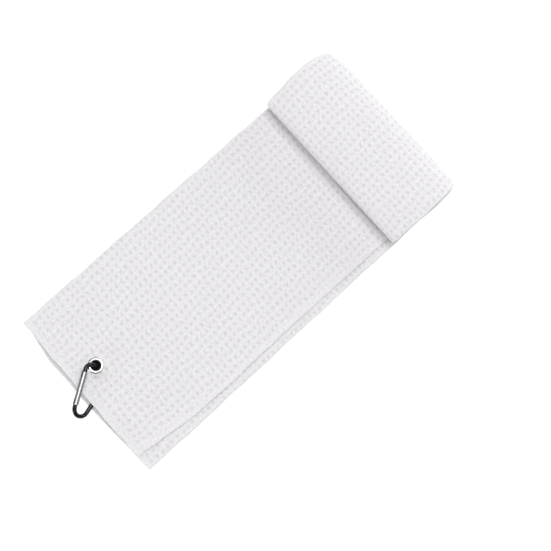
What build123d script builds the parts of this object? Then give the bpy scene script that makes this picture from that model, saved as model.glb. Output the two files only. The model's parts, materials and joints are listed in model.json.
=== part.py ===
from build123d import *
import os
from math import atan2, ceil, cos, degrees, pi, radians, sin, sqrt, tan, tau

# Golf towel, folded lengthwise in three like a letter, with its far end rolled up on top of itself.
# A small D-shaped snap hook goes through an eyelet in the top flap.
# Frame: +X runs along the towel from the eyelet to the roll, +Z is up, and z = 0 is the resting plane.
# The origin is on the resting plane, under the eyelet's centre.

# Cloth
ply = 1.1  # thickness of one layer
ply_gap = 0.1  # air between two layers
ply_pitch = ply + ply_gap
stack = 3 * ply + 2 * ply_gap  # thickness of the letter fold

# Folded sheet
short_edge_x = -20.0  # the end with the eyelet
hem_peek = 3.0  # how far the under flap's short hem shows past the top flap's
left_fold_near, left_fold_far = 59.6, 57.0  # y of the left fold at the short edge and under the roll
right_fold_near, right_fold_far = -82.3, -79.6
under_flap_edge_y = 47.5  # free long hem of the under flap
crease_x = 218.5  # where the roll stops on the flat part

# Roll: an oval spiral of the whole letter fold
roll_width, roll_height = 62.5, 32.0
roll_left, roll_right = 57.3, -79.3
roll_turns = 2.5
turn_gap = 0.45  # looseness between two turns
roll_pitch = stack + turn_gap
roll_squareness = 2.4  # exponent of the oval, where 2 is an ellipse
roll_lean = 0.12  # the roll's top leans towards its far side
bend_step = 30.0  # turn of the outermost bend at each of its fold lines
hinge_gap = 0.1

# Eyelet
eyelet_hole_r = 3.8
eyelet_wall = 0.5
eyelet_flange_r = 5.9
eyelet_flange = 0.5  # thickness of the ring on each side of the cloth
eyelet_curl = 0.25

# Snap hook: its flat outline has p along the gate from the hinge and q from the gate to the spine
rod_r = 1.6
hook_heading = 32.5  # the gate's direction in plan, from +X towards +Y
hook_tilt = 45.0  # slope of the hook's plane about the gate
arm_p = 28.8  # the arm that passes through the eyelet
arm_crossing_q = 8.0
spine_q = 15.5
hook_end_p = -9.4
hook_end_q = 10.3
spine_knee_p = 3.5
hook_end_r, knee_r, wide_end_r, nose_r = 6.0, 20.0, 5.0, 4.5
tongue = 1.3  # thickness of the flat tongue at each end of the rod
tongue_half_width = 1.5
hinge_tongue_q = 1.3  # the hinge tongue is cut back on its inner side, clear of the gate's bore
tongue_reach = 1.6  # how far the hinge tongue goes past the hinge
hinge_shoulder_p, nose_shoulder_p = -3.05, 22.85
nose_tongue_p = 19.0

# Gate
gate_r = 2.0
gate_bore_r = 1.5
gate_start_p, gate_end_p = -2.0, 22.6
gate_bore_end_p = 10.0
gate_edge_r = 0.25  # rounding of the gate's ends
slot = 1.5  # width of the slots for the tongues
hinge_slot_p = 0.7  # how far the hinge slot goes right through the gate
hinge_window_p = 2.9  # how far it goes on, on the outer side only
nose_slot_p, nose_slot_q = 18.4, 1.6  # inner end and floor of the nose slot
rivet_r = 0.6
latch_p = 20.9
latch_r = 0.5
notch_r = 0.6
pin_clearance = 0.04
pin_inset = 0.12  # how far a pin's ends lie inside the gate's outline
plunger_r = 1.42
plunger_start_p, plunger_end_p = 1.66, 3.4
plunger_travel = 0.8
spring_wire_r = 0.2
spring_r = 1.1
spring_turns = 5

spine_z = 2 * ply_pitch + rod_r  # the spine lies on the under flap
eyelet_z = spine_z + (spine_q - arm_crossing_q) * sin(radians(hook_tilt))
sweep_z = spine_z + rod_r + 0.2 + ply / 2  # top flap's mid height wherever the spine can swing under it
flap_z = 2 * ply_pitch + ply / 2  # top flap's mid height where it lies flat

os.makedirs("parts", exist_ok=True)


def save(node, name):
    """Labels a finished piece and writes its STEP file."""
    node.part.label = name
    export_step(node.part, f"parts/{name}.step")


# ---- The roll's centre line, in the plane of X and Z ----

half_height = (roll_height - stack) / 2 + roll_pitch / 4
half_width = (roll_width - stack) / 2 + roll_pitch / 2
roll_x = crease_x + stack / 2 + half_width - 3 * roll_pitch / 4
roll_z = stack / 2 + half_height


def spiral_point(turn):
    """Point of the roll's mid line after this angle of travel round the oval, from its lowest point."""
    shrink = roll_pitch * turn / tau
    n = roll_squareness
    across = abs(sin(turn) / (half_width - shrink)) ** n
    up = abs(cos(turn) / (half_height - shrink)) ** n
    r = (across + up) ** (-1 / n)
    rise = -r * cos(turn)
    return roll_x + r * sin(turn) + roll_lean * rise, roll_z + rise


def spiral_heading(turn):
    """Direction of travel along the mid line, in degrees from +X, for the first half turn."""
    step = 1e-4
    (x0, z0), (x1, z1) = spiral_point(turn - step), spiral_point(turn + step)
    return degrees(atan2(z1 - z0, x1 - x0)) % 360


def turn_at_heading(wanted):
    """Where on the first half turn the mid line heads this way."""
    low, high = 0.1, pi + 0.4
    for _ in range(60):
        middle = (low + high) / 2
        if spiral_heading(middle) < wanted:
            low = middle
        else:
            high = middle
    return low


def crossing(point_a, heading_a, point_b, heading_b):
    """Where two lines meet, each given by a point and a heading in degrees."""
    ax, az = cos(radians(heading_a)), sin(radians(heading_a))
    bx, bz = cos(radians(heading_b)), sin(radians(heading_b))
    dx, dz = point_b[0] - point_a[0], point_b[1] - point_a[1]
    along = (dx * bz - dz * bx) / (ax * bz - az * bx)
    return point_a[0] + along * ax, point_a[1] + along * az


# The outermost bend turns back by half a turn in equal steps. Its fold lines are where the tangents
# of neighbouring steps meet, so that every one turns by exactly bend_step.
bend_count = round(180 / bend_step)
tangents = [((roll_x, stack / 2), 0.0)]
for k in range(1, bend_count + 1):
    tangents.append((spiral_point(turn_at_heading(k * bend_step)), k * bend_step))
fold_lines = [crossing(*tangents[k], *tangents[k + 1]) for k in range(bend_count)]
end_clearance = hinge_gap + stack / 2 * tan(radians(bend_step / 2))


# ---- Folded sheet ----

# Places across the towel where the top flap's dome over the eyelet and the swinging spine changes slope
dome_right, dome_left = -34.0, 22.0
dome_right_foot, dome_left_foot = -62.0, 50.0
plateau = 6.1  # half width of the level octagon that carries the eyelet
plateau_corner = plateau * tan(pi / 8)
ramp_end = 10.0  # where the flap has come down from the eyelet's height


def sheet_section(x, hem_y, shoulder_lift, middle_lift, level=plateau):
    """Outline of the folded sheet across the towel at x, from the bottom layer's left end round."""
    part_way = (x - short_edge_x) / (fold_lines[0][0] - short_edge_x)
    left = left_fold_near + part_way * (left_fold_far - left_fold_near)
    right = right_fold_near + part_way * (right_fold_far - right_fold_near)
    left_r, right_r = stack / 2, ply_pitch - ply_gap / 2
    flap_under = 2 * ply_pitch
    ramp_lift = shoulder_lift + 0.3 * (middle_lift - shoulder_lift)
    dome = [
        (dome_left_foot, 0.0),
        (dome_left, shoulder_lift),
        (ramp_end, ramp_lift),
        (level, middle_lift),
        (-level, middle_lift),
        (-ramp_end, ramp_lift),
        (dome_right, shoulder_lift),
        (dome_right_foot, 0.0),
    ]
    with BuildLine(Plane.YZ.offset(x)) as outline:
        Line((left - left_r, 0), (right + right_r, 0))
        ThreePointArc((right + right_r, 0), (right, right_r), (right + right_r, 2 * right_r))
        Polyline(
            (right + right_r, 2 * right_r),
            (under_flap_edge_y, 2 * right_r),
            (under_flap_edge_y, ply_pitch),
            (right + right_r, ply_pitch),
        )
        ThreePointArc((right + right_r, ply_pitch), (right + ply, right_r), (right + right_r, ply))
        Line((right + right_r, ply), (left - left_r, ply))
        ThreePointArc((left - left_r, ply), (left - ply, left_r), (left - left_r, flap_under))
        Polyline(
            (left - left_r, flap_under),
            *[(y, flap_under + lift) for y, lift in dome],
            (hem_y, flap_under),
            (hem_y, stack),
            *[(y, stack + lift) for y, lift in reversed(dome)],
            (left - left_r, stack),
        )
        ThreePointArc((left - left_r, stack), (left, left_r), (left - left_r, 0))
    return outline.wire()


sweep_lift = sweep_z - flap_z
eyelet_lift = eyelet_z - flap_z
sweep_crown = sweep_lift + 0.25
edge_lift = 1.15  # the short edge stands higher still, where the spine's knee passes under it
flat_lift, flat_crown = 0.04, 0.08  # the flap is very slightly fuller along its middle everywhere
sheet_end_x = fold_lines[0][0] - end_clearance
# Each section: its x, the y of the top flap's hem, and the dome's height at its shoulders and top
sheet_sections = [
    sheet_section(short_edge_x, -69.2, sweep_lift + edge_lift, sweep_crown + edge_lift),
    sheet_section(-ramp_end, -70.0, sweep_lift + edge_lift / 3, sweep_crown + edge_lift / 3),
    sheet_section(-plateau, -70.8, sweep_lift, eyelet_lift, level=plateau_corner),
    sheet_section(-plateau_corner, -71.3, sweep_lift, eyelet_lift),
    sheet_section(plateau_corner, -71.9, sweep_lift, eyelet_lift),
    sheet_section(plateau, -72.3, sweep_lift, eyelet_lift, level=plateau_corner),
    sheet_section(ramp_end, -73.0, sweep_lift, sweep_crown),
    sheet_section(30.0, -74.6, sweep_lift / 2, sweep_crown / 2),
    sheet_section(60.0, -75.2, flat_lift, flat_crown),
    sheet_section(112.0, -74.0, flat_lift, flat_crown),
    sheet_section(sheet_end_x, -74.0, flat_lift, flat_crown),
]
with BuildPart() as towel_sheet:
    add(Solid.make_loft(sheet_sections, ruled=True))
    # The under flap's short hem, which shows furthest past the top flap's at the middle of its width
    with BuildSketch(Plane.XY.offset(ply_pitch)):
        with BuildLine():
            Polyline(
                (short_edge_x, right_fold_near + 4),
                (short_edge_x, under_flap_edge_y),
                (short_edge_x - hem_peek, under_flap_edge_y - 8),
                (short_edge_x - hem_peek, 0),
                close=True,
            )
        make_face()
    extrude(amount=ply)
    # The eyelet's hole goes through the top flap only
    with BuildSketch(Plane.XY.offset(eyelet_z)):
        Circle(eyelet_hole_r + eyelet_wall)
    extrude(amount=2 * ply, both=True, mode=Mode.SUBTRACT)
save(towel_sheet, "towel_sheet")

# ---- Roll ----


def cloth_slab(name, start, end):
    """One straight step of the outermost bend, from a fold line to the next."""
    length = sqrt((end[0] - start[0]) ** 2 + (end[1] - start[1]) ** 2)
    along = Vector(end[0] - start[0], 0, end[1] - start[1])
    middle = Vector((start[0] + end[0]) / 2, roll_left, (start[1] + end[1]) / 2)
    with BuildPart() as slab:
        with BuildSketch(Plane(origin=middle, x_dir=along, z_dir=(0, -1, 0))):
            Rectangle(length - 2 * end_clearance, stack)
        extrude(amount=roll_left - roll_right)
    save(slab, name)


for k in range(bend_count - 1):
    cloth_slab(f"roll_bend_{k + 1:02d}", fold_lines[k], fold_lines[k + 1])


def coil_side(side):
    """Points of one face of the coil, half a stack to this side of its mid line."""
    points_per_turn = 24
    last = roll_turns * tau
    first = turn_at_heading(180)
    count = ceil((last - first) / tau * points_per_turn)
    step = 1e-4
    points = []
    for i in range(count + 1):
        turn = first + (last - first) * i / count
        (x0, z0), (x1, z1) = spiral_point(turn - step), spiral_point(turn + step)
        length = sqrt((x1 - x0) ** 2 + (z1 - z0) ** 2)
        x, z = spiral_point(turn)
        points.append((x - side * (z1 - z0) / length, z + side * (x1 - x0) / length))
    return points


coil_start_x = fold_lines[-1][0] - end_clearance
inner, outer = coil_side(stack / 2), coil_side(-stack / 2)
with BuildPart() as roll_coil:
    with BuildSketch(Plane.XZ.offset(-roll_left)):
        with BuildLine():
            Spline(*inner)
            Line(inner[-1], outer[-1])
            Spline(*reversed(outer))
            Polyline(outer[0], (coil_start_x, outer[0][1]), (coil_start_x, inner[0][1]), inner[0])
        make_face()
    extrude(amount=roll_left - roll_right)
save(roll_coil, "roll_coil")

# ---- Eyelet ----

eyelet_top = eyelet_z + ply / 2 + eyelet_flange
eyelet_bottom = eyelet_z - ply / 2 - eyelet_flange - eyelet_curl
with BuildPart() as eyelet:
    with BuildSketch(Plane.XZ):
        with BuildLine():
            barrel_r = eyelet_hole_r + eyelet_wall
            Polyline(
                (barrel_r, eyelet_z + ply / 2),
                (barrel_r, eyelet_bottom + eyelet_curl),
                (barrel_r + eyelet_wall, eyelet_bottom + eyelet_curl),
                (barrel_r + eyelet_wall, eyelet_bottom),
                (eyelet_hole_r, eyelet_bottom),
                (eyelet_hole_r, eyelet_top - eyelet_flange / 2),
            )
            Polyline(
                (barrel_r, eyelet_z + ply / 2),
                (eyelet_flange_r - 0.1, eyelet_z + ply / 2),
                (eyelet_flange_r, eyelet_z + ply / 2 + 0.1),
            )
            Spline(
                (eyelet_flange_r, eyelet_z + ply / 2 + 0.1),
                ((eyelet_flange_r + eyelet_hole_r) / 2, eyelet_top),
                (eyelet_hole_r, eyelet_top - eyelet_flange / 2),
            )
        make_face()
    revolve(axis=Axis.Z)
save(eyelet, "eyelet")

washer_top = eyelet_z - ply / 2
with BuildPart() as eyelet_washer:
    with BuildSketch(Plane.XY.offset(washer_top)):
        Circle(eyelet_flange_r)
        Circle(barrel_r, mode=Mode.SUBTRACT)
    extrude(amount=-eyelet_flange)
    chamfer(eyelet_washer.edges().group_by(Axis.Z)[0].sort_by(SortBy.RADIUS)[-1], 0.15)
save(eyelet_washer, "eyelet_washer")

# ---- Snap hook ----

heading, tilt = radians(hook_heading), radians(hook_tilt)
toward_nose = Vector(cos(heading), sin(heading), 0)
toward_spine = Vector(sin(heading) * cos(tilt), -cos(heading) * cos(tilt), -sin(tilt))
hinge_point = Vector(0, 0, eyelet_z) - toward_nose * arm_p - toward_spine * arm_crossing_q
hook_plane = Plane(origin=hinge_point, x_dir=toward_nose, z_dir=toward_nose.cross(toward_spine))


def flat_block(p0, p1, q0, q1, thickness, mode=Mode.ADD):
    """Adds or cuts a block of this thickness, centred on the hook's plane."""
    with BuildSketch(hook_plane) as block:
        with Locations(((p0 + p1) / 2, (q0 + q1) / 2)):
            Rectangle(p1 - p0, q1 - q0)
    extrude(block.sketch, amount=thickness / 2, both=True, mode=mode)


def cross_pin_hole(p, q, r):
    """Drills through whatever stands at this point of the hook's plane."""
    with BuildSketch(hook_plane) as hole:
        with Locations((p, q)):
            Circle(r)
    extrude(hole.sketch, amount=2 * gate_r, both=True, mode=Mode.SUBTRACT)


with BuildPart() as carabiner_body:
    with BuildLine(hook_plane) as outline:
        FilletPolyline(
            (hinge_shoulder_p, 0),
            (hook_end_p, 0),
            (hook_end_p, hook_end_q),
            (spine_knee_p, spine_q),
            (arm_p, spine_q),
            (arm_p, 0),
            (nose_shoulder_p, 0),
            radius=(hook_end_r, hook_end_r, knee_r, wide_end_r, nose_r),
        )
    with BuildSketch(Plane(origin=outline.line @ 0, z_dir=outline.line % 0)):
        Circle(rod_r)
    sweep()
    flat_block(hinge_shoulder_p - 1, tongue_reach, -tongue_half_width, hinge_tongue_q, tongue)
    flat_block(nose_tongue_p, nose_shoulder_p + 1, -tongue_half_width, tongue_half_width, tongue)
    # Round the hinge tongue's end, so that the plunger rides over it
    with BuildSketch(hook_plane):
        with Locations((tongue_reach, tongue_half_width), (tongue_reach, -tongue_half_width)):
            Rectangle(0.8, 0.8, rotation=45)
    extrude(amount=gate_r, both=True, mode=Mode.SUBTRACT)
    cross_pin_hole(0, 0, rivet_r + pin_clearance)
    # The nose's notch opens towards the spine, the way the latch pin leaves
    cross_pin_hole(latch_p, 0, notch_r)
    flat_block(latch_p - notch_r, latch_p + notch_r, 0, 2, slot, Mode.SUBTRACT)
save(carabiner_body, "carabiner_body")

with BuildPart() as carabiner_gate:
    with BuildSketch(Plane(origin=hook_plane.from_local_coords((gate_start_p, 0, 0)), z_dir=toward_nose)):
        Circle(gate_r)
    extrude(amount=gate_end_p - gate_start_p)
    fillet(carabiner_gate.edges().filter_by(GeomType.CIRCLE), gate_edge_r)
    with BuildSketch(Plane(origin=hook_plane.from_local_coords((gate_start_p, 0, 0)), z_dir=toward_nose)):
        Circle(gate_bore_r)
    extrude(amount=gate_bore_end_p - gate_start_p, mode=Mode.SUBTRACT)
    # Slots for the tongues. They open on the gate's outer side, and past the hinge on both sides.
    flat_block(gate_start_p - 1, hinge_slot_p, -gate_r - 1, gate_r + 1, slot, Mode.SUBTRACT)
    flat_block(hinge_slot_p, hinge_window_p, -gate_r - 1, 0, slot, Mode.SUBTRACT)
    flat_block(nose_slot_p, gate_end_p + 1, -gate_r - 1, nose_slot_q, slot, Mode.SUBTRACT)
    cross_pin_hole(0, 0, rivet_r)
    cross_pin_hole(latch_p, 0, latch_r)
save(carabiner_gate, "carabiner_gate")


def cross_pin(p, r):
    """A pin across the gate at this distance from the hinge, flush with the gate's sides."""
    with BuildSketch(hook_plane) as section:
        with Locations((p, 0)):
            Circle(r)
    extrude(section.sketch, amount=gate_r - pin_inset, both=True)


with BuildPart() as gate_hinge_rivet:
    cross_pin(0, rivet_r)
save(gate_hinge_rivet, "gate_hinge_rivet")

with BuildPart() as gate_latch_pin:
    cross_pin(latch_p, latch_r)
save(gate_latch_pin, "gate_latch_pin")

with BuildPart() as gate_plunger:
    with BuildSketch(Plane(origin=hook_plane.from_local_coords((plunger_start_p, 0, 0)), z_dir=toward_nose)):
        Circle(plunger_r)
    extrude(amount=plunger_end_p - plunger_start_p)
    chamfer(gate_plunger.edges().filter_by(GeomType.CIRCLE), 0.15)
save(gate_plunger, "gate_plunger")

spring_start_p = plunger_end_p + plunger_travel + spring_wire_r + 0.05
spring_end_p = gate_bore_end_p - spring_wire_r - 0.05
with BuildPart() as gate_spring:
    with BuildLine() as coil:
        Helix(
            pitch=(spring_end_p - spring_start_p) / spring_turns,
            height=spring_end_p - spring_start_p,
            radius=spring_r,
            center=hook_plane.from_local_coords((spring_start_p, 0, 0)),
            direction=toward_nose,
        )
    with BuildSketch(Plane(origin=coil.line @ 0, z_dir=coil.line % 0)):
        Circle(spring_wire_r)
    sweep(is_frenet=True)
save(gate_spring, "gate_spring")
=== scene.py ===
import json
from math import pi, radians, sin, cos, tau

import bpy
import numpy as np
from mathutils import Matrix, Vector


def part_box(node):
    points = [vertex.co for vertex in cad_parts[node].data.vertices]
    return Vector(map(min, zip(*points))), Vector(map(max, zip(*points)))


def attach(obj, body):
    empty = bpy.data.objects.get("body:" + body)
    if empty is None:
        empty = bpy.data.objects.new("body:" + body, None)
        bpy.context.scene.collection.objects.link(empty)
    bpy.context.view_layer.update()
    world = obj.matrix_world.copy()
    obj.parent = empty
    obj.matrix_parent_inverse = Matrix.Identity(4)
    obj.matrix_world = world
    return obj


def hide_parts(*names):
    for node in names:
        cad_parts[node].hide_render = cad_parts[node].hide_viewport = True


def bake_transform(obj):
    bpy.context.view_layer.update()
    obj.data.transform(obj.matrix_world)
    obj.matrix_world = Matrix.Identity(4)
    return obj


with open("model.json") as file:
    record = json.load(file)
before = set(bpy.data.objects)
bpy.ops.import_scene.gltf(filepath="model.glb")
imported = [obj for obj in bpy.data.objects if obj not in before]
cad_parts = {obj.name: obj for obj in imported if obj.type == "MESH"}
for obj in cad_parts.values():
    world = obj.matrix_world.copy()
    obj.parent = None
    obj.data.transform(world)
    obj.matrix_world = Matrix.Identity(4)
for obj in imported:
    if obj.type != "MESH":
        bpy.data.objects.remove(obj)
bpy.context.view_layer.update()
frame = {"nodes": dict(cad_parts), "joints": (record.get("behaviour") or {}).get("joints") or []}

# Golf towel: a waffle-weave cloth folded lengthwise in three, rolled up at its far end, with a snap hook
# through an eyelet in the top flap. The eyelet's centre is at x = 0, y = 0. Lengths are in millimetres until
# place() turns them into metres.
MM = 0.001
eyelet_low, eyelet_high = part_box("eyelet")

# ---- The folded stack, as in the CAD ----
ply = 1.1  # thickness of one layer
ply_pitch = 1.2  # a layer and the air above it
stack = 3.5
half = ply / 2
under_mid = ply_pitch + half  # heights of the middles of the under flap and the top flap
flap_mid = 2 * ply_pitch + half
right_bend, left_bend = ply_pitch / 2, ply_pitch  # radii of the two folds
eyelet_radius = 5.9
eyelet_inset = 20.0  # from the eyelet's centre back to the short edge
short_edge_x = eyelet_low.x / MM + eyelet_radius - eyelet_inset
left_near, left_far = 59.6, 57.0  # y of the left fold at the short edge and at the roll
right_near, right_far = -82.3, -79.6
far_w = 263.0  # distance along the towel where the folds' far values of y are reached
under_hem_y = 47.5  # free long hem of the under flap
hem_x = [-20, -10, -6, 10, 30, 60, 112, 300]  # the top flap's long hem: its y at these places
hem_y = [-69.2, -70.0, -70.8, -73.0, -74.6, -75.2, -74.0, -74.0]
skew_y = [-82, -69, 60]  # the short edge runs a little askew: how far it stands off at these places
skew_x = [-1.6, -1.9, 1.0]
skew_fade = 30.0  # distance from the short edge over which its shift dies out
hem_peek = 3.4  # how far the under flap's short hem shows past the top flap's

# Unevenness of the edges, as waves of a height, a length and a phase.
LEFT_WAVES = ((0.22, 9.0, 0.0), (0.15, 3.7, 1.0))
RIGHT_WAVES = ((0.2, 10.0, 2.0), (0.15, 4.1, 0.0))
LONG_HEM_WAVES = ((0.18, 6.3, 0.4), (0.1, 2.9, 0.0))
SHORT_HEM_WAVES = ((0.22, 5.5, 0.0), (0.15, 2.3, 0.0))
# The roll's turns don't quite line up at the folds: how far they wander, and how fast as it turns.
left_layering, right_layering = (0.45, 1.9), (0.5, 1.6)
# Bulges of the folds round the roll: height, middle in half turns, and reach in radians.
LEFT_BULGES = ((1.6, 1.12, 0.6), (2.6, 0.85, 0.5), (-2.5, 0.5, 0.4))
RIGHT_BULGES = ((1.9, 0.5, 0.5),)

# ---- The roll's mid line, as in the CAD ----
crease_x = 218.5
roll_width, roll_height = 62.5, 32.0
roll_turns = 2.5
roll_pitch = 3.95
roll_squareness = 2.4
roll_lean = 0.12
half_height = (roll_height - stack) / 2 + roll_pitch / 4
half_width = (roll_width - stack) / 2 + roll_pitch / 2
roll_x = crease_x + stack / 2 + half_width - 3 * roll_pitch / 4
roll_z = stack / 2 + half_height
line_lead = 10.0  # how far before the short edge its tables start
flat_step, spiral_points = 0.1, 6001  # their step on the flat, and number of points round the roll

# ---- The weave ----
cell_near, cell_far = 4.95, 4.55  # length of a waffle cell along the towel, at the eyelet and at the roll
cell_width = 5.6
cells_across = {"under": 22, "right_fold": 1, "base": 25, "left_fold": 1, "top": 23}
column_steps = 5  # mesh columns in one cell
pit_depth, pit_flatness = 0.5, 0.8
hem_band = 3.4  # width of the flat woven hem
hem_fade = 2.4  # how soon the waffle starts past it
no_hem = 99.0  # stands for the distance from a hem where there is none
fold_weave = 0.6  # share of the waffle's depth that is left in the two folds
fine_fade = 6.0  # distance over which the waffle ends inside the roll
weave_slope = 0.036  # slant of the weave's long rows
slant_cells = [0, 23, 48, 49, 72]  # slant of its cross rows: cells that they are ahead, at these cells across
slant_ahead = [1.29, 1.29, 0, 0, 1.02]
short_stitch, long_stitch = 1.7, 3.0  # distance of each row of stitches from its hem
groove_depth, groove_width = 0.2, 0.5  # of the groove that the stitches pull in
core_depth = 0.25  # how far past the cloth's middle the cut ends' inner line of points lies, below all pits


def smooth(t):
    """Smoothstep from 0 at t = 0 to 1 at t = 1."""
    t = np.clip(t, 0, 1)
    return t * t * (3 - 2 * t)


def wobble(t, waves):
    """Sum of waves along t."""
    return sum(height * np.sin(t / length + phase) for height, length, phase in waves)


def spiral(turn):
    """The roll's mid line after this angle of travel round the oval, from its lowest point."""
    shrink = roll_pitch * turn / tau
    across = np.abs(np.sin(turn) / (half_width - shrink)) ** roll_squareness
    up = np.abs(np.cos(turn) / (half_height - shrink)) ** roll_squareness
    r = (across + up) ** (-1 / roll_squareness)
    rise = -r * np.cos(turn)
    return roll_x + r * np.sin(turn) + roll_lean * rise, roll_z + rise


def mid_line():
    """The stack's mid line as tables: distance along it (on the flat, this is x), x, z, heading and turn."""
    turns = np.linspace(0, roll_turns * tau, spiral_points)
    curve_x, curve_z = spiral(turns)
    flat_x = np.arange(short_edge_x - line_lead, curve_x[0] - flat_step / 2, flat_step)
    x = np.concatenate([flat_x, curve_x])
    z = np.concatenate([np.full(len(flat_x), stack / 2), curve_z])
    steps = np.hypot(np.diff(x), np.diff(z))
    w = x[0] + np.concatenate([[0], np.cumsum(steps)])
    heading = np.unwrap(np.arctan2(np.gradient(z, w), np.gradient(x, w)))
    turn = np.concatenate([np.zeros(len(flat_x)), turns])
    return w, x, z, heading, turn


line_w, line_x, line_z, line_heading, line_turn = mid_line()


def at_turn(turn):
    """Distance along the mid line where it has gone this far round the roll."""
    return float(np.interp(turn, line_turn[line_turn > 0], line_w[line_turn > 0]))


def turn_at(w):
    """How far round the roll the mid line has gone at this distance along it."""
    return np.interp(w, line_w, line_turn)


def place(w, y, n):
    """Points in metres from distance along the towel, y, and height n above the stack's lower face."""
    heading = np.interp(w, line_w, line_heading)
    x = np.interp(w, line_w, line_x) - np.sin(heading) * (n - stack / 2)
    z = np.interp(w, line_w, line_z) + np.cos(heading) * (n - stack / 2)
    return np.stack(np.broadcast_arrays(x, y, z), -1) * MM


# ---- Shape of the top flap: its dome over the hook, its ripples and its edges ----
ring_proud = 0.5  # how far the eyelet's ring stands above the cloth
eyelet_lift = eyelet_high.z / MM - ring_proud - half - flap_mid
eyelet_flat, eyelet_reach = 6.2, 11.0  # radii where the eyelet's own bump starts to fall and ends
hole_radius = 4.9  # of the hole in the cloth, hidden under the eyelet's ring
sweep_lift = 3.4  # clears the hook's spine wherever it swings
sweep_from, sweep_fade = 10.0, 52.0  # x where the dome starts to fall, and how far it takes
edge_lift = 1.15  # more of it at the short edge, over the spine's knee
edge_from, edge_rise = -5.0, 15.0
dome_right, dome_left, dome_fade = -62.0, 50.0, 28.0  # the dome's ends in y, and how far it takes to rise
ripple_height = 0.11
# Each ripple: height, length along x, length along y, phase.
RIPPLES = ((1.0, 11.0, 17.0, 0.6), (0.8, 23.0, -9.0, 2.1), (0.6, 7.5, -31.0, 0.0), (0.5, 40.0, 6.0, 0.0))
roll_press, roll_press_fade = 208.0, 22.0  # the roll presses the flap flat from here on
fold_press, fold_press_fade = 56.0, 12.0  # and so does its own fold
gate_x, gate_y, gate_room, gate_fade = -12.0, -6.0, 26.0, 18.0  # the gate swings here, over flat cloth
pinch_depth, pinch_from, pinch_fade = 2.8, 36.0, 18.0
curl_height, curl_width = 0.7, 7.0  # of the top flap's long hem, where it stands off the flap below
curl_end, curl_end_fade, curl_start_rise = 210.0, 20.0, 12.0


def dome(x, y):
    """How far the top flap stands up over the hook's spine and at the eyelet."""
    along = sweep_lift * (1 - smooth((x - sweep_from) / sweep_fade))
    along = along + edge_lift * np.clip((edge_from - x) / edge_rise, 0, 1)
    base = along * smooth((y - dome_right) / dome_fade) * smooth((dome_left - y) / dome_fade)
    near = smooth((eyelet_reach - np.hypot(x, y)) / (eyelet_reach - eyelet_flat))
    return base + (eyelet_lift - base) * near


def ripple(x, y):
    """Slow unevenness of the flap where it lies free, never below zero."""
    waves = 0
    for height, along, across, phase in RIPPLES:
        waves = waves + height * (1 + np.sin(x / along + y / across + phase))
    free = smooth((roll_press - x) / roll_press_fade) * smooth((fold_press - y) / fold_press_fade)
    clear_of_gate = smooth((np.hypot(x - gate_x, y - gate_y) - gate_room) / gate_fade)
    return ripple_height * waves * free * clear_of_gate


def bulges(turn, terms):
    """Sum of bells round the roll's outermost turn."""
    return sum(size * np.exp(-(((turn - middle * pi) / reach) ** 2)) for size, middle, reach in terms)


def fold_y(w, near, far, waves, layering, terms):
    """The outermost line of one of the two folds."""
    turn = turn_at(w)
    straight = np.interp(w, [short_edge_x, far_w], [near, far])
    return straight + wobble(w, waves) + layering[0] * np.sin(layering[1] * turn) + bulges(turn, terms)


def left_y(w):
    """The left fold's outermost line."""
    return fold_y(w, left_near, left_far, LEFT_WAVES, left_layering, LEFT_BULGES)


def right_y(w):
    """The right fold's outermost line."""
    return fold_y(w, right_near, right_far, RIGHT_WAVES, right_layering, RIGHT_BULGES)


def pinch(w, y):
    """How far the roll's far side is pressed in towards its left end, where it is wound tighter."""
    return pinch_depth * smooth((y - pinch_from) / pinch_fade) * np.maximum(np.sin(turn_at(w)), 0) ** 2


def top_hem_y(w):
    """The top flap's long hem, slightly wavy."""
    return np.interp(w, hem_x, hem_y) + wobble(w, LONG_HEM_WAVES)


def hem_curl(w, y):
    """How far the top flap's long hem stands off the flap below it."""
    near_hem = smooth(1 - (y - top_hem_y(w)) / curl_width)
    before_roll = smooth((curl_end - w) / curl_end_fade)
    return curl_height * near_hem * before_roll * smooth((w - short_edge_x) / curl_start_rise)


# ---- Section of the letter fold ----
# A row is a line along the towel. Rows go round the folded cloth's closed section: over its outer face
# from the under flap's hem to the top flap's, round that hem, and back along its inner face.
SEGMENTS = list(cells_across)
UNDER, TOP = SEGMENTS.index("under"), SEGMENTS.index("top")
FIRST_CELL = dict(zip(SEGMENTS, np.cumsum([0] + list(cells_across.values()))))
visible_under_cells = 3  # cells of the under flap that show beside the top flap
visible_rows, hidden_rows = 15, 5  # rows of the under flap's outer face, there and under the top flap
top_rows = 115  # rows of the top flap's outer face
hole_rows = (43, 61)  # those that pass near the eyelet; its inner face has the same ones there
inner_step = 4  # elsewhere the top flap's inner face has one row for this many of its outer face
OUTER_ROWS = {"right_fold": 8, "base": 100, "left_fold": 8, "top": top_rows}
INNER_ROWS = {"under": 6, "right_fold": 4, "base": 6, "left_fold": 5}
edge_angles = (0.25 * pi, 0.5 * pi, 0.75 * pi)  # of the rows round a long hem's rounded edge


def face_rows(counts):
    """Rows as (segment, share of the segment) with this many rows in each segment."""
    return [(name, i / count) for name, count in counts.items() for i in range(count)]


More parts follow.
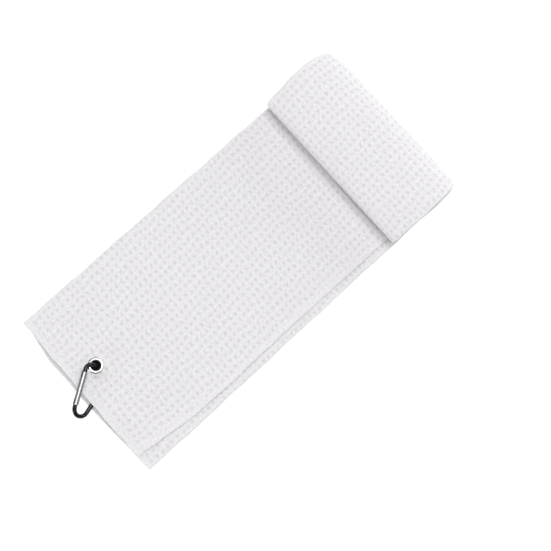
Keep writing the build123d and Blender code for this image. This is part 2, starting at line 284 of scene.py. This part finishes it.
def section_rows():
    """All rows of the closed section: segment, share, and the angle from the outer face round the edge."""
    hidden = 1 - visible_under_cells / cells_across["under"]
    outer = [("under", hidden * i / hidden_rows) for i in range(hidden_rows)]
    outer += [("under", hidden + (1 - hidden) * i / visible_rows) for i in range(visible_rows)]
    outer += face_rows(OUTER_ROWS) + [("top", 1.0)]
    near_hole = range(*hole_rows)
    plain = [i for i in range(0, top_rows, inner_step) if i not in near_hole]
    inner = face_rows(INNER_ROWS)
    inner += [("top", i / top_rows) for i in sorted([*plain, *near_hole])] + [("top", 1.0)]
    rows = [(name, share, 0.0) for name, share in outer]
    rows += [("top", 1.0, angle) for angle in edge_angles]
    rows += [(name, share, pi) for name, share in reversed(inner)]
    rows += [("under", 0.0, -angle) for angle in reversed(edge_angles)]
    return rows, len(outer) + len(edge_angles)


ROWS, outer_count = section_rows()
ROW_SEGMENT = np.array([SEGMENTS.index(name) for name, _, _ in ROWS])
ROW_SHARE = np.array([share for _, share, _ in ROWS])
ROW_ANGLE = np.array([angle for _, _, angle in ROWS])
ROW_CELL = np.array([FIRST_CELL[name] + share * cells_across[name] for name, share, _ in ROWS])


def section(w):
    """Mid lines of the rows at distances w: y, n, and the outward normal, each of shape (w, rows)."""
    w = w[:, None]
    share = ROW_SHARE[None, :] + 0 * w
    flat = np.zeros_like(share)
    right_mid = right_y(w) + right_bend + half
    left_mid = left_y(w) - left_bend - half
    under_end = under_hem_y - half
    turn_right = radians(90) + share * pi
    turn_left = radians(-90) + share * pi
    hem = top_hem_y(w) + half
    shapes = {
        "under": (under_end + share * (right_mid - under_end), under_mid + flat, flat, flat + 1),
        "right_fold": (right_mid + right_bend * np.cos(turn_right),
                       half + right_bend + right_bend * np.sin(turn_right),
                       np.cos(turn_right), np.sin(turn_right)),
        "base": (right_mid + share * (left_mid - right_mid), half + flat, flat, flat - 1),
        "left_fold": (left_mid + left_bend * np.cos(turn_left),
                      half + left_bend + left_bend * np.sin(turn_left),
                      np.cos(turn_left), np.sin(turn_left)),
        "top": (left_mid + share * (hem - left_mid), flap_mid + flat, flat, flat + 1),
    }
    out = [np.zeros_like(share) for _ in range(4)]
    for i, name in enumerate(SEGMENTS):
        mine = ROW_SEGMENT == i
        for target, values in zip(out, shapes[name]):
            target[:, mine] = values[:, mine]
    return out


def peek_share(y):
    """How much of hem_peek the under flap's short hem shows at this y."""
    from_left, left_fade, from_right, right_fade = under_hem_y + 2, 8, -80, 70
    return smooth((from_left - y) / left_fade) * smooth((y - from_right) / right_fade)


def edge_shift(y):
    """How far each row's short edge stands before or behind the nominal one."""
    shift = np.interp(y, skew_y, skew_x) + wobble(y, SHORT_HEM_WAVES)
    return shift - hem_peek * peek_share(y) * (ROW_SEGMENT == UNDER)[None, :]


def cell_at(w):
    """Waffle cells counted along the towel."""
    return np.interp(w, cell_w, cell_count)


fine_end_w = at_turn(3 * pi) + 6  # past this the cloth is hidden inside the roll
end_w = at_turn(roll_turns * tau)
cell_step, cell_margin = 0.5, 10.0
cell_w = np.arange(short_edge_x - cell_margin, end_w + cell_margin, cell_step)
cell_count = np.cumsum(cell_step / np.interp(cell_w, [short_edge_x, crease_x], [cell_near, cell_far]))


def weave_mask(w, y, edge_x):
    """1 where the cloth has its waffle, 0 on the flat hems and where nothing shows."""
    mask = smooth((w - edge_x - hem_band) / hem_fade)
    from_hem = np.where(ROW_SEGMENT == TOP, y - top_hem_y(w), no_hem)
    mask = mask * smooth((from_hem - hem_band) / hem_fade)
    in_fold = (ROW_SEGMENT == SEGMENTS.index("right_fold")) | (ROW_SEGMENT == SEGMENTS.index("left_fold"))
    mask = mask * np.where(in_fold, fold_weave, 1.0)
    showing = cells_across["under"] - visible_under_cells
    mask = mask * np.where(ROW_SEGMENT == UNDER, smooth(ROW_CELL - showing), 1.0)
    return mask * smooth((fine_end_w - w) / fine_fade)


def cloth_columns():
    """Distances of the mesh's columns along the towel, and how far each stands out at a rounded end."""
    hidden_columns = 50
    first, last = cell_at(short_edge_x + half), cell_at(fine_end_w)
    count = round((last - first) * column_steps)
    fine = np.interp(np.linspace(first, last, count + 1), cell_count, cell_w)
    coarse = np.linspace(fine_end_w, end_w - half, hidden_columns)[1:]
    middle = np.concatenate([fine, coarse])
    angles = np.radians([80, 55, 28])  # round the rounded ends
    near = middle[0] - half * np.sin(angles)
    far = middle[-1] + half * np.sin(angles[::-1])
    w = np.concatenate([near, middle, far])
    thickness = np.concatenate([np.cos(angles), np.ones(len(middle)), np.cos(angles[::-1])])
    return w, thickness


column_w, column_thickness = cloth_columns()


def weave_cells(w):
    """Cell numbers along and across the towel. The weave lies a little askew, and wanders."""
    u = cell_at(w) + np.interp(ROW_CELL, slant_cells, slant_ahead)[None, :]
    v = ROW_CELL[None, :] + weave_slope * w / cell_width
    wander_u = 0.10 * np.sin(1.7 * v + 0.35 * u) + 0.07 * np.sin(0.6 * v - 1.3 * u)
    wander_v = 0.10 * np.sin(1.4 * u - 0.5 * v) + 0.07 * np.sin(0.8 * u + 1.9 * v + 1)
    return u + wander_u, v + wander_v


def groove(distance):
    """Depth of a row of stitches' groove at this distance from it."""
    return groove_depth * np.exp(-((distance / groove_width) ** 2))


def cloth_grid():
    """Every point of the folded cloth, of shape (columns, rows, 3), with its weave mask and cell numbers,
    and the points at core_depth inside it."""
    y, n, out_y, out_n = section(column_w)
    along = column_w[:, None]
    thickness = column_thickness[:, None]
    shift = edge_shift(y)
    edge_x = short_edge_x + shift
    w = along + shift * (1 - smooth((along - short_edge_x) / skew_fade))
    mask = weave_mask(w, y, edge_x)
    cell_u, cell_v = weave_cells(along)
    pits = np.sin(pi * cell_u) ** 2 * np.sin(pi * cell_v) ** 2
    uneven = 0.85 + 0.15 * np.sin(cell_u * 0.9 + cell_v * 0.43)
    on_top = ROW_SEGMENT == TOP
    relief = -pit_depth * pits**pit_flatness * mask * uneven
    relief -= groove(w - edge_x - short_stitch)
    relief -= groove(y - top_hem_y(w) - long_stitch) * on_top
    offset = half * thickness * np.cos(ROW_ANGLE)[None, :] + relief * (ROW_ANGLE == 0)
    sideways = half * thickness * np.abs(np.sin(ROW_ANGLE))[None, :] * np.where(on_top, -1, 1)
    lift = (dome(w, y) + ripple(w, y) + hem_curl(w, y)) * on_top + pinch(w, y)
    points = place(w, y + out_y * offset + sideways, n + out_n * offset + lift)
    inside = -core_depth * thickness * np.maximum(np.cos(ROW_ANGLE), 0)[None, :]
    core = place(w, y + out_y * inside, n + out_n * inside + lift)
    return points, mask, cell_u, cell_v, core


points, weave, cell_u, cell_v, core = cloth_grid()


def grid_normals(grid):
    """Unit normals of the whole cloth, so that pieces cut from it meet without a visible seam."""
    along = np.gradient(grid, axis=0)
    round_section = np.roll(grid, -1, axis=1) - np.roll(grid, 1, axis=1)
    normals = np.cross(round_section, along)
    return normals / np.maximum(np.linalg.norm(normals, axis=-1, keepdims=True), 1e-12)


normals = grid_normals(points)


def hole_in_grid():
    """True for the grid's cells that lie in the eyelet's hole."""
    flat_end = 20.0  # the hole lies before this distance along the towel
    corner = points[:, :, :2] / MM
    middle = (corner[:-1] + corner[1:]) / 2
    middle = (middle + np.roll(middle, -1, axis=1)) / 2
    on_top = (ROW_SEGMENT == TOP) & (np.roll(ROW_SEGMENT, -1) == TOP)
    gone = (np.hypot(middle[..., 0], middle[..., 1]) < hole_radius) & on_top[None, :]
    gone[column_w[:-1] > flat_end] = False
    return gone


def punch_hole():
    """Opens the eyelet's hole: which grid cells go, and the rim's faces between the cloth's two sides."""
    gone = hole_in_grid()
    inner = {ROW_SHARE[j]: j for j in range(outer_count, len(ROWS)) if ROW_SEGMENT[j] == TOP}
    rim, edge = [], set()
    for i, j in np.argwhere(gone[:, :outer_count]):
        corners = [(i, j), (i, j + 1), (i + 1, j + 1), (i + 1, j)]
        beyond = [(i - 1, j), (i, j + 1), (i + 1, j), (i, j - 1)]
        for k in range(4):
            if gone[beyond[k]]:
                continue
            a, b = corners[k], corners[(k + 1) % 4]
            side = [a, b, (b[0], inner[ROW_SHARE[b[1]]]), (a[0], inner[ROW_SHARE[a[1]]])]
            rim.append([column * len(ROWS) + row for column, row in side])
            edge.update(side)
    for i, j in edge:
        away = points[i, j, :2]
        points[i, j, :2] = away * (hole_radius * MM / np.hypot(*away))
    return gone, rim


hole_cells, hole_rim = punch_hole()

# ---- Stitches ----
stitch_pitch, stitch_length, stitch_radius = 3.3, 2.3, 0.21
stitch_sides = 6
hem_start, hem_end = short_edge_x + 3, at_turn(pi) + 30  # the long hem's stitches run between these
# Along a stitch: share of its length, and its width and height in radii.
STITCH_RINGS = ((0.0, 0.35, -0.9), (0.2, 1.0, 0.0), (0.5, 1.05, 0.25), (0.8, 1.0, 0.0), (1.0, 0.35, -0.9))
stitch_sink = 0.24  # how far stitches are sunk in where the top flap lies on them, or they on the ground
STITCH_HEIGHTS = {"under": ply_pitch + ply - stitch_sink, "base": stitch_sink}


def surface_point(layer, w, y):
    """A point where a layer's stitches run, at distance w and y."""
    if layer == "top":
        return place(w, y, stack + dome(w, y) + ripple(w, y) + hem_curl(w, y))
    return place(w, y, 0 * y + STITCH_HEIGHTS[layer])


def stitch_row(layer, w, y):
    """Starts, ends and outward directions of the stitches between pairs of neighbouring points of a line."""
    near = 0.3
    line = surface_point(layer, w, y)
    across = surface_point(layer, w + near, y) - surface_point(layer, w - near, y)
    aside = surface_point(layer, w, y + near) - surface_point(layer, w, y - near)
    up = np.cross(across, aside)
    up /= np.linalg.norm(up, axis=-1, keepdims=True)
    if layer == "base":
        up = -up
    return line[0::2], line[1::2], up[0::2]


def stitch_tubes(starts, ends, ups):
    """Vertices and faces of thread stitches, each a closed tube that dips into the cloth at both ends."""
    verts, faces = [], []
    r, sides = stitch_radius * MM, stitch_sides
    last = (len(STITCH_RINGS) - 1) * sides
    for a, b, up in zip(starts, ends, ups):
        base = len(verts)
        side = np.cross(b - a, up)
        side /= np.linalg.norm(side)
        for t, width, height in STITCH_RINGS:
            centre = a + (b - a) * t + up * r * height
            for k in range(sides):
                turn = tau * k / sides
                verts.append(centre + (side * cos(turn) + up * sin(turn)) * r * width)
        for p in range(base, base + last):
            q = p + 1 if (p + 1 - base) % sides else p + 1 - sides
            faces.append((p, p + sides, q + sides, q))
        faces.append(tuple(base + k for k in range(sides)))
        faces.append(tuple(base + last + k for k in reversed(range(sides))))
    return verts, faces


def dashes(first, last):
    """Start and end of each stitch along a line, as one rising list."""
    starts = np.arange(first, last - stitch_length, stitch_pitch)
    return np.stack([starts, starts + stitch_length], 1).ravel()


def long_hem_stitches(w0, w1):
    """Stitches along the top flap's long hem between two distances, at the same places for every piece."""
    pairs = dashes(hem_start, hem_end).reshape(-1, 2)
    w = pairs[(pairs[:, 0] >= w0) & (pairs[:, 1] <= w1)].ravel()
    return stitch_row("top", w, top_hem_y(w) + long_stitch)


def short_hem_stitches(layer, y0, y1):
    """Stitches along a layer's short hem."""
    y = dashes(y0, y1)
    w = short_edge_x + np.interp(y, skew_y, skew_x) + short_stitch
    if layer == "under":
        w = w - hem_peek * peek_share(y)
    return stitch_row(layer, w, y)


# ---- Meshes ----


def make_mesh(name, verts, faces, material):
    """A smooth-shaded mesh object with one material."""
    mesh = bpy.data.meshes.new(name)
    mesh.from_pydata([tuple(v) for v in verts], [], faces)
    mesh.shade_smooth()
    mesh.materials.append(material)
    obj = bpy.data.objects.new(name, mesh)
    bpy.context.collection.objects.link(obj)
    return obj


def zip_ends(front, back, front_at, back_at):
    """Triangles between two lines of points across the cloth's cut end, matched by cell number."""
    faces, i, j = [], 0, 0
    while i < len(front) - 1 or j < len(back) - 1:
        take_front = j == len(back) - 1 or (i < len(front) - 1 and front_at[i + 1] <= back_at[j + 1])
        if take_front:
            faces.append((front[i], front[i + 1], back[j]))
            i += 1
        else:
            faces.append((front[i], back[j + 1], back[j]))
            j += 1
    return faces


def end_cap(front, middle, back):
    """Faces that close a cut end: its outer rows, a line of points below their pits, and its inner rows."""
    faces = [(front[0], front[1], middle[1]), (front[-2], front[-1], middle[-2])]
    faces += [(front[i], front[i + 1], middle[i + 1], middle[i]) for i in range(1, len(front) - 2)]
    return faces + zip_ends(middle, back, ROW_CELL[:outer_count], ROW_CELL[outer_count:][::-1])


def piece_faces(first, last):
    """Faces of the cloth between two columns, with a cap at both ends. Their points are numbered by column
    and row, then come the inner points of the two caps."""
    columns, rows = last - first + 1, len(ROWS)
    ids = np.arange(columns * rows).reshape(columns, rows)
    a, b = ids[:-1], np.roll(ids[:-1], -1, axis=1)
    c, d = np.roll(ids[1:], -1, axis=1), ids[1:]
    faces = np.stack([a, b, c, d], -1)[~hole_cells[first:last]].tolist()
    if first == 0:
        faces += hole_rim
    for column, inner_at in ((0, columns * rows), (columns - 1, columns * rows + outer_count)):
        front = ids[column, :outer_count].tolist()
        back = ids[column, outer_count:][::-1].tolist()
        middle = [front[0], *range(inner_at + 1, inner_at + outer_count - 1), front[-1]]
        cap = end_cap(front, middle, back)
        faces += cap if column else [tuple(reversed(face)) for face in cap]
    return faces


def piece_values(values, at_caps, first, last):
    """Values of a piece's points, in the order that piece_faces numbers them."""
    own = values[first:last + 1].reshape(-1, *values.shape[2:])
    return np.concatenate([own, at_caps[first, :outer_count], at_caps[last, :outer_count]])


def cloth_piece(name, first, last):
    """The cloth between two columns of the grid, closed at both ends."""
    faces = piece_faces(first, last)
    kept = np.unique(np.concatenate([np.ravel(face) for face in faces]))
    renumber = np.zeros(kept[-1] + 1, int)
    renumber[kept] = np.arange(len(kept))
    faces = [tuple(int(renumber[k]) for k in face) for face in faces]
    verts, at_u, at_v, at_weave, at_normals = [
        piece_values(values, at_caps, first, last)[kept]
        for values, at_caps in ((points, core), (cell_u, cell_u), (cell_v, cell_v), (weave, weave),
                                (normals, normals))
    ]
    obj = make_mesh(name, verts, faces, cloth)
    mesh = obj.data
    loops = np.zeros(len(mesh.loops), np.int32)
    mesh.loops.foreach_get("vertex_index", loops)
    uv = np.stack([at_u, at_v], -1)[loops].astype(np.float32)
    mesh.uv_layers.new(name="cells").data.foreach_set("uv", uv.ravel())
    mask = mesh.attributes.new("weave", "FLOAT", "POINT")
    mask.data.foreach_set("value", at_weave.astype(np.float32))
    mesh.normals_split_custom_set_from_vertices(at_normals.tolist())
    return obj


# ---- Materials ----


def shader(name):
    """A new node material, as its node tree and its principled node."""
    material = bpy.data.materials.new(name)
    material.use_nodes = True
    tree = material.node_tree
    return material, tree, tree.nodes["Principled BSDF"]


def settle(surface, **values):
    """Sets inputs of a principled node to plain values. An underscore stands for a space in their names."""
    for name, value in values.items():
        surface.inputs[name.replace("_", " ")].default_value = value


def node(tree, kind, links=None, **settings):
    """Adds a node. links maps an input's name or number to an output socket or a value."""
    made = tree.nodes.new("ShaderNode" + kind)
    for key, value in settings.items():
        setattr(made, key, value)
    for key, value in (links or {}).items():
        if isinstance(value, bpy.types.NodeSocket):
            tree.links.new(value, made.inputs[key])
        else:
            made.inputs[key].default_value = value
    return made


def maths(tree, operation, a, b=0.0):
    """One arithmetic node's result."""
    return node(tree, "Math", {0: a, 1: b}, operation=operation).outputs[0]


def remap(tree, value, low, high, to_low, to_high):
    """Value mapped from low..high to to_low..to_high, and held at the ends."""
    links = {"Value": value, "From Min": low, "From Max": high, "To Min": to_low, "To Max": to_high}
    return node(tree, "MapRange", links).outputs[0]


def mixed(tree, share, a, b):
    """Colour a at share 0 and colour b at share 1."""
    made = node(tree, "Mix", {"Factor": share}, data_type="RGBA")
    for socket, value in ((made.inputs[6], a), (made.inputs[7], b)):
        if isinstance(value, bpy.types.NodeSocket):
            tree.links.new(value, socket)
        else:
            socket.default_value = (*value, 1)
    return made.outputs[2]


def times(tree, a, b):
    """Two colours multiplied."""
    links = {"Factor": 1.0, 6: a, 7: b}
    return node(tree, "Mix", links, data_type="RGBA", blend_type="MULTIPLY").outputs[2]


def noise(tree, vector, scale, detail=2.0):
    """Noise between 0 and 1 at this scale of the given coordinates."""
    return node(tree, "TexNoise", {"Vector": vector, "Scale": scale, "Detail": detail}).outputs["Fac"]


def bump(tree, height, distance, strength=1.0, before=None):
    """A bump node's normal, on top of another bump if one is given."""
    links = {"Height": height, "Distance": distance, "Strength": strength}
    if before is not None:
        links["Normal"] = before
    return node(tree, "Bump", links).outputs["Normal"]


def sine_squared(tree, value, cycles):
    """sin(pi * cycles * value) squared."""
    wave = maths(tree, "SINE", maths(tree, "MULTIPLY", value, cycles * pi))
    return maths(tree, "MULTIPLY", wave, wave)


def object_place(tree):
    """Place on the object, in metres."""
    return node(tree, "TexCoord").outputs["Object"]


yarns_per_cell = 8
pile_scale, pile_detail = 3.4, 4.0
# The cloth's white, and the grey that paints the shade falling into the waffle pits.
CLOTH_WHITE, PIT_PAINTED_SHADE = (0.780, 0.765, 0.780), (0.655, 0.642, 0.655)
BROAD_TINTS = (0.975, 0.975, 0.98), (1.0, 1.0, 1.0)
TUFT_SHADES = (0.88, 0.88, 0.885), (1.07, 1.07, 1.07)


def cloth_material():
    """White waffle microfibre: painted shade in the pits, fine yarns both ways, looped pile and a soft sheen.
    """
    material, tree, surface = shader("waffle_cloth")
    cells = node(tree, "UVMap", uv_map="cells").outputs[0]
    along, across, _ = node(tree, "SeparateXYZ", {0: cells}).outputs
    mask = node(tree, "Attribute", attribute_name="weave").outputs["Fac"]
    # Painted shade in the waffle pits, darkest at their middles, none where the weave mask is off.
    pit_painted_shade = maths(tree, "MULTIPLY", sine_squared(tree, along, 1), sine_squared(tree, across, 1))
    pit_painted_shade = maths(tree, "POWER", pit_painted_shade, 1.3)
    pit_painted_shade = maths(tree, "MULTIPLY", pit_painted_shade, maths(tree, "ADD", noise(tree, cells, 1.7), 0.5))
    pit_painted_shade = maths(tree, "MULTIPLY", pit_painted_shade, mask)
    pile = noise(tree, cells, pile_scale, pile_detail)
    tufts = remap(tree, pile, 0.32, 0.68, 0.0, 1.0)
    base = mixed(tree, pit_painted_shade, CLOTH_WHITE, PIT_PAINTED_SHADE)
    colour = times(tree, base, mixed(tree, noise(tree, cells, 0.12), *BROAD_TINTS))
    colour = times(tree, colour, mixed(tree, tufts, *TUFT_SHADES))
    tree.links.new(hole_shade(tree, colour), surface.inputs["Base Color"])
    rough = maths(tree, "ADD", maths(tree, "MULTIPLY", pile, 0.12), 0.84)
    tree.links.new(rough, surface.inputs["Roughness"])
    yarns = [sine_squared(tree, way, yarns_per_cell) for way in (along, across)]
    loops = bump(tree, pile, 0.28 * MM, 0.9)
    tree.links.new(bump(tree, maths(tree, "ADD", *yarns), 0.05 * MM, 0.6, loops), surface.inputs["Normal"])
    settle(surface, Sheen_Weight=0.25, Sheen_Roughness=0.5, Specular_IOR_Level=0.2)
    return material


def hole_shade(tree, colour):
    """Painted shadow: darkens the under flap right below the eyelet, so that the shaded hole looks black."""
    # Colour of the painted shadow inside the hole.
    dark = (0.012, 0.012, 0.014)
    full_radius, end_radius = 6 * MM, 13 * MM
    height, reach = 2.2 * MM, 0.5 * MM
    x, y, z = node(tree, "SeparateXYZ", {0: object_place(tree)}).outputs
    flat = node(tree, "CombineXYZ", {0: x, 1: y}).outputs[0]
    away = node(tree, "VectorMath", {0: flat}, operation="LENGTH").outputs["Value"]
    near = remap(tree, away, full_radius, end_radius, 1.0, 0.0)
    off_height = maths(tree, "ABSOLUTE", maths(tree, "SUBTRACT", z, height))
    low = maths(tree, "LESS_THAN", off_height, reach)
    return mixed(tree, maths(tree, "MULTIPLY", near, low), colour, dark)


def thread_material():
    """White polyester thread, twisted."""
    material, tree, surface = shader("thread")
    twist = noise(tree, object_place(tree), 2600.0)
    colour = mixed(tree, twist, (0.78, 0.775, 0.79), (0.9, 0.895, 0.91))
    tree.links.new(colour, surface.inputs["Base Color"])
    tree.links.new(bump(tree, twist, 0.06 * MM), surface.inputs["Normal"])
    settle(surface, Roughness=0.55)
    return material


hook_heading = radians(32.5)  # the gate's direction in plan
# Colour of the dark reflection painted on metal edges seen at a slant.
EDGE_PAINTED_REFLECTION = (0.02, 0.02, 0.025)


def metal_material(name, dark, light, roughness, spread, grain,
                   stretch=(1, 1, 1), metallic=1.0, rim=0.85, shine=0.9):
    """A metal whose colour and roughness vary with grain, which stretch draws out along the hook's gate.
    Its edges, seen at a slant, darken by rim, a painted reflection of dark surroundings."""
    material, tree, surface = shader(name)
    place_in = object_place(tree)
    turned = node(tree, "Mapping", {0: place_in, "Rotation": (0, 0, -hook_heading), "Scale": stretch},
                  vector_type="TEXTURE")
    fine = noise(tree, turned.outputs[0], grain, 4.0)
    broad = noise(tree, place_in, 160.0)
    slant = node(tree, "LayerWeight", {"Blend": 0.5}).outputs["Facing"]
    # Painted reflection: edges seen at a slant take a dark colour, as if they mirrored dark surroundings.
    painted_edge_reflection = remap(tree, slant, 0.25, 0.75, 0.0, rim)
    colour = mixed(tree, painted_edge_reflection, mixed(tree, broad, dark, light), EDGE_PAINTED_REFLECTION)
    tree.links.new(colour, surface.inputs["Base Color"])
    rough = maths(tree, "ADD", maths(tree, "MULTIPLY", fine, spread), roughness - spread / 2)
    tree.links.new(rough, surface.inputs["Roughness"])
    tree.links.new(bump(tree, fine, 0.012 * MM, 0.6), surface.inputs["Normal"])
    settle(surface, Metallic=metallic, Specular_IOR_Level=shine)
    return material


cloth = cloth_material()
thread = thread_material()
nickel = metal_material("nickel", (0.60, 0.59, 0.57), (0.74, 0.73, 0.71), 0.2, 0.12, 900)
black = metal_material("black_coating", (0.003, 0.003, 0.004), (0.006, 0.006, 0.008), 0.15, 0.08, 1500,
                       metallic=0.0, rim=0.0, shine=0.45)
settle(black.node_tree.nodes["Principled BSDF"], Specular_Tint=(0.86, 0.83, 1.0, 1.0))
satin = metal_material("satin_aluminium", (0.36, 0.36, 0.38), (0.48, 0.48, 0.50), 0.34, 0.16, 1100,
                       stretch=(12, 1, 1))
steel = metal_material("steel", (0.46, 0.46, 0.47), (0.6, 0.6, 0.61), 0.3, 0.12, 1200)
spring_steel = metal_material("spring_steel", (0.36, 0.36, 0.38), (0.5, 0.5, 0.52), 0.24, 0.1, 1600)

# ---- The cloth, one piece on each body and one across each fold line ----
bend_reach = 8.0  # how far the first and last bends spread over the sheet and the coil
first_turn_end = 1.4 * pi  # all fold lines come before this turn
# Each short hem's row of stitches: its layer, and the y where it starts and ends.
SHORT_HEMS = (("top", -66, 57), ("under", -60, 44), ("base", -80, 57))


def fold_line_distances():
    """Distance along the mid line of each hinge of the outermost bend."""
    before_end = line_w < at_turn(first_turn_end)
    pivots = [joint["pos_m"] for joint in frame["joints"] if joint["name"].startswith("unroll")]
    found = []
    for x, _, z in pivots:
        gap = np.hypot(line_x - x / MM, line_z - z / MM)
        found.append(line_w[np.argmin(gap[before_end])])
    return found


folds = fold_line_distances()
cuts = [folds[0] - bend_reach] + [(a + b) / 2 for a, b in zip(folds, folds[1:])] + [folds[-1] + bend_reach]
cut_columns = [int(np.argmin(np.abs(column_w - cut))) for cut in cuts]


def lay_flat_sheet():
    """The flat part, with the stitches of its hems."""
    sheet = cloth_piece("towel_cloth", 0, cut_columns[0])
    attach(sheet, "towel")
    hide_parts("towel_sheet")
    rows = {"stitches_top_long_hem": long_hem_stitches(short_edge_x, column_w[cut_columns[0]])}
    for layer, y0, y1 in SHORT_HEMS:
        rows[f"stitches_{layer}_short_hem"] = short_hem_stitches(layer, y0, y1)
    for name, row in rows.items():
        stitches = make_mesh(name, *stitch_tubes(*row), thread)
        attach(stitches, "towel")


def lay_bends():
    """The outermost bend, in pieces, each across one of its fold lines."""
    inset = 0.5
    for k in range(len(folds)):
        first, last = cut_columns[k], cut_columns[k + 1]
        piece = cloth_piece(f"bend_cloth_{k + 1}", first, last)
        ends = np.array([column_w[first] + inset, column_w[last] - inset])
        start, end = place(ends, np.zeros(2), stack / 2)
        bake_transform(piece)
        if k < len(folds) - 1:
            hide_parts(f"roll_bend_{k + 1:02d}")
        row = long_hem_stitches(column_w[first], column_w[last])
        if len(row[0]) > 0:
            stitches = make_mesh(f"bend_stitches_{k + 1}", *stitch_tubes(*row), thread)
            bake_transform(stitches)


def lay_coil():
    """The rest of the roll."""
    coil = cloth_piece("coil_cloth", cut_columns[-1], len(column_w) - 1)
    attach(coil, "coil")
    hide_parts("roll_coil")


lay_flat_sheet()
lay_bends()
lay_coil()

# ---- Metal parts, as in the CAD ----
METALS = {
    "eyelet": nickel,
    "eyelet_washer": nickel,
    "carabiner_body": black,
    "carabiner_gate": satin,
    "gate_hinge_rivet": steel,
    "gate_latch_pin": steel,
    "gate_plunger": steel,
    "gate_spring": spring_steel,
}
for part, material in METALS.items():
    for material_slot in frame["nodes"][part].material_slots:
        material_slot.material = material

# ---- Studio, in metres ----
towel_middle = Vector((0.14, -0.01, 0.0))
floor_size, floor_drop = 12, 0.00005
floor_middle = (0.13, -0.01)
floor_glow = 0.8
sky_light = 0.44
# The sky that reflections see: the height where it starts to brighten and where it ends, and its strengths.
CEILING = (0.5, 1.02, 0.12, 1.25)
ceiling_lean = 0.35  # how much of x counts as height there
lights_y = 0.02
# Each light: how far along x it stands from the towel's middle, its height, size and power.
LIGHTS = {
    "key": (0.5, 2.55, 1.4, 42.0),
    "rim": (1.93, 0.52, 0.8, 11.0),
    "fill": (-1.95, 0.55, 0.8, 12.0),
}
camera_target = Vector((0.1407, -0.0384, 0.0))
camera_azimuth, camera_elevation, camera_distance = radians(-42.2), radians(85.5), 1.1
sensor_width, focal_length = 36, 98.1


def studio_floor():
    """A white floor that glows a little, like a light table, so that it stays white beside the towel."""
    bpy.ops.mesh.primitive_plane_add(size=floor_size, location=(*floor_middle, -floor_drop))
    floor = bpy.context.object
    floor.name = "floor"
    material, tree, surface = shader("floor")
    colour = mixed(tree, noise(tree, object_place(tree), 3.0), (0.34, 0.34, 0.34), (0.36, 0.36, 0.36))
    tree.links.new(colour, surface.inputs["Base Color"])
    settle(surface, Emission_Color=(1, 1, 1, 1), Emission_Strength=floor_glow)
    settle(surface, Roughness=0.9, Specular_IOR_Level=0.1)
    floor.data.materials.append(material)


def look_along(obj, direction):
    """Turns a light or camera to look in this direction."""
    obj.rotation_euler = direction.to_track_quat("-Z", "Y").to_euler()


def area_light(name, location, size, power):
    """A soft square light on the towel."""
    data = bpy.data.lights.new(name, "AREA")
    data.size, data.energy = size, power
    obj = bpy.data.objects.new(name, data)
    obj.location = location
    look_along(obj, towel_middle - location)
    obj.visible_camera = False
    bpy.context.collection.objects.link(obj)


def studio_light():
    """An overhead light, two low ones and some light from all round. Reflections see a bright ceiling
    over dark walls."""
    world = bpy.data.worlds.new("studio")
    bpy.context.scene.world = world
    world.use_nodes = True
    tree = world.node_tree
    direction = node(tree, "SeparateXYZ", {0: node(tree, "TexCoord").outputs["Generated"]})
    leaning = maths(tree, "MULTIPLY", direction.outputs[0], ceiling_lean)
    ceiling = remap(tree, maths(tree, "ADD", direction.outputs[2], leaning), *CEILING)
    ray = node(tree, "LightPath").outputs
    seen = node(tree, "Mix", {"Factor": ray["Is Camera Ray"], 2: sky_light, 3: 1.0}).outputs[0]
    strength = node(tree, "Mix", {"Factor": ray["Is Glossy Ray"], 2: seen, 3: ceiling}).outputs[0]
    background = tree.nodes["Background"]
    background.inputs[0].default_value = (1, 1, 1, 1)
    tree.links.new(strength, background.inputs[1])
    for name, (along, above, size, power) in LIGHTS.items():
        area_light(name, Vector((towel_middle.x + along, lights_y, above)), size, power)


def studio_camera():
    """Nearly straight down, with the towel's roll at the upper right."""
    azimuth, elevation = camera_azimuth, camera_elevation
    back = Vector((sin(azimuth) * cos(elevation), -cos(azimuth) * cos(elevation), sin(elevation)))
    data = bpy.data.cameras.new("camera")
    data.sensor_width, data.lens = sensor_width, focal_length
    data.clip_start, data.clip_end = 0.01, 50
    camera = bpy.data.objects.new("camera", data)
    camera.location = camera_target + back * camera_distance
    look_along(camera, -back)
    bpy.context.collection.objects.link(camera)
    bpy.context.scene.camera = camera


studio_floor()
studio_light()
studio_camera()
bpy.context.scene.view_settings.view_transform = "Standard"
